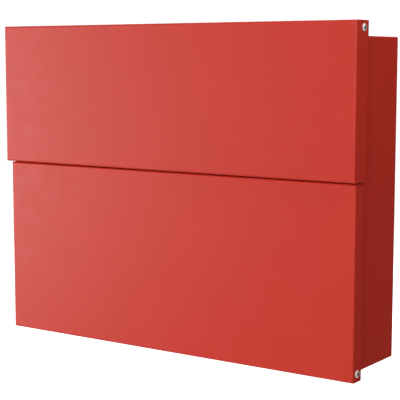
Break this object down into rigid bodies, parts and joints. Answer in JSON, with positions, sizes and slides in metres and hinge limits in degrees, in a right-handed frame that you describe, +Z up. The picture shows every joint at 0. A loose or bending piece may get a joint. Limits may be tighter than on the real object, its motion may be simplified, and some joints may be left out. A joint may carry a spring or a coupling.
{
  "type": "wall-mounted letter box",
  "caption": "Wall-hung folded steel letter box with a lifting letter flap above a drop-down collection door and a cam lock behind the flap.",
  "frame": {"origin": "centre of the back panel's outer face, in the middle of the four wall holes", "axes": "+X to the right seen from the front, +Y into the wall, +Z up"},
  "size_m": [0.4546, 0.1, 0.349],
  "materials": {
    "red_coat": "semi-matt powder coat",
    "stainless": "bright",
    "rivet_metal": "satin",
    "lock_plate": "polished",
    "zinc_steel": "zinc plated",
    "nylon": "natural",
    "buffer_rubber": "matt"
  },
  "bodies": {
    "housing": {"housing_wrap": "red_coat", "back_panel": "red_coat", "slot_panel": "red_coat", "slot_panel_rivets": "rivet_metal", "letter_guide": "red_coat", "flap_screw_left": "stainless", "flap_screw_right": "stainless", "door_screw_left": "stainless", "door_screw_right": "stainless", "flap_bush_left": "nylon", "flap_bush_right": "nylon", "door_bush_left": "nylon", "door_bush_right": "nylon", "flap_nut_left": "stainless", "flap_nut_right": "stainless", "door_nut_left": "stainless", "door_nut_right": "stainless", "lock_barrel": "lock_plate", "lock_nut": "lock_plate", "flap_buffers": "buffer_rubber", "door_buffers": "buffer_rubber"},
    "flap": {"letter_flap": "red_coat"},
    "door": {"collection_door": "red_coat", "lock_keeper": "zinc_steel"},
    "lock": {"lock_plug": "lock_plate", "lock_cam": "zinc_steel", "cam_screw": "zinc_steel"}
  },
  "joints": [
    {"name": "flap_lift", "type": "hinge", "parent": "housing", "child": "flap", "pos_m": [0, -0.0855, 0.171], "axis": [-1, 0, 0], "range_deg": [0, 70]},
    {"name": "door_drop", "type": "hinge", "parent": "housing", "child": "door", "pos_m": [0, -0.085, -0.1628], "axis": [1, 0, 0], "range_deg": [0, 90]},
    {"name": "lock_turn", "type": "hinge", "parent": "housing", "child": "lock", "pos_m": [0, -0.0767, 0.0415], "axis": [0, 1, 0], "range_deg": [0, 90]}
  ]
}
